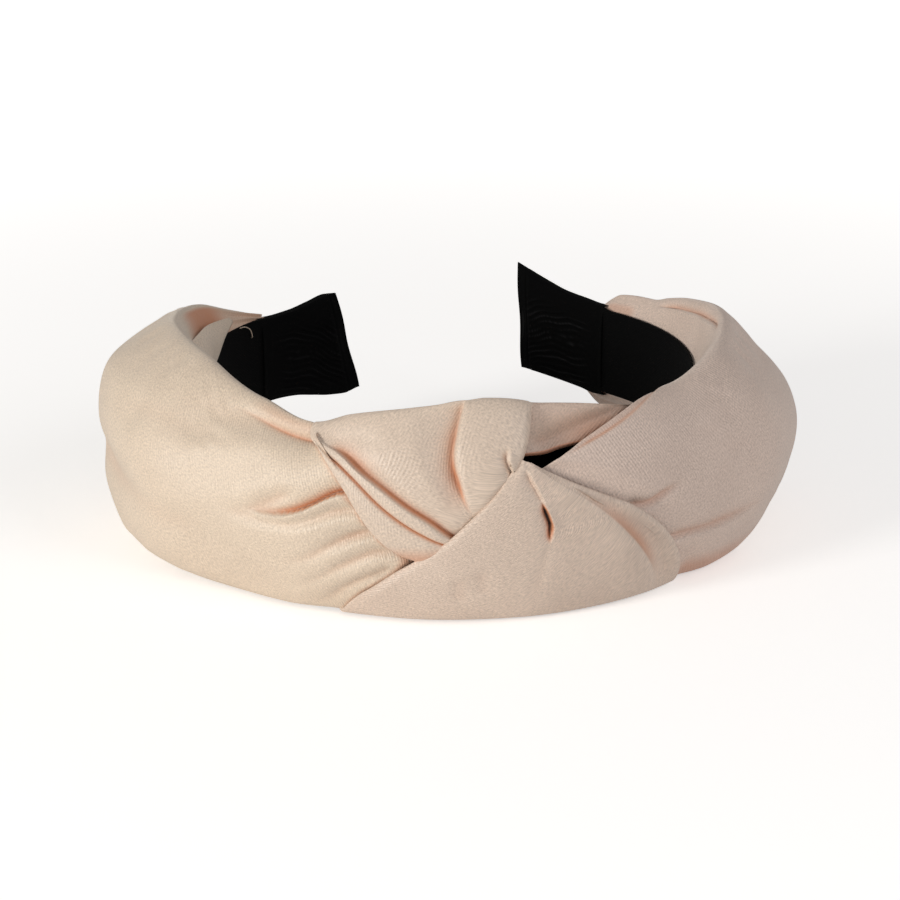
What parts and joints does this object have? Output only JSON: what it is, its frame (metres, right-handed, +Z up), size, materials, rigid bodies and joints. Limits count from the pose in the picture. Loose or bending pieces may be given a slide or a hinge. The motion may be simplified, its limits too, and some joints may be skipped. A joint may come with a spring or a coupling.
{
  "type": "knotted headband",
  "caption": "Knotted satin headband: a sprung hoop lined with ribbon, dressed with padded satin that crosses in a knot over the crown, with ribbed pockets over its tips.",
  "frame": {"origin": "on the surface that the headband lies on, under the middle of its bounding box", "axes": "+Z up from the edge that it lies on, +X from the left arm to the right arm, -Y towards the knot; the two tips are at +Y"},
  "size_m": [0.1646, 0.1341, 0.0516],
  "materials": {
    "hoop_plastic": "moulded, matt",
    "ribbon_black": "fine ribbed ribbon, matt",
    "knit_black": "ribbed tube sewn flat at its end",
    "satin_champagne": "fine twill satin, soft sheen",
    "thread_black": "twisted sewing thread",
    "thread_beige": "twisted sewing thread"
  },
  "bodies": {
    "crown": {"core_crown": "hoop_plastic", "lining_crown": "ribbon_black", "cover_crown": "ribbon_black", "knot_tack_thread": "thread_beige", "knot_upper_wrap": "satin_champagne", "knot_lower_wrap": "satin_champagne", "left_wing_root": "satin_champagne", "right_wing_root": "satin_champagne"},
    "left_arm": {"core_left_arm": "hoop_plastic", "lining_left_arm": "ribbon_black", "cover_left_arm": "ribbon_black", "left_wing": "satin_champagne", "end_pocket_left": "knit_black", "pocket_stitches_left": "thread_black"},
    "right_arm": {"core_right_arm": "hoop_plastic", "lining_right_arm": "ribbon_black", "cover_right_arm": "ribbon_black", "right_wing": "satin_champagne", "end_pocket_right": "knit_black", "pocket_stitches_right": "thread_black"}
  },
  "joints": [
    {"name": "left_arm_flex", "type": "hinge", "parent": "crown", "child": "left_arm", "pos_m": [-0.04214, -0.03384, 0.0275], "axis": [0, 0, 1], "range_deg": [-6, 20], "stiffness_Nm_per_rad": 0.65},
    {"name": "right_arm_flex", "type": "hinge", "parent": "crown", "child": "right_arm", "pos_m": [0.04214, -0.03384, 0.0275], "axis": [0, 0, -1], "range_deg": [-6, 20], "stiffness_Nm_per_rad": 0.65}
  ]
}
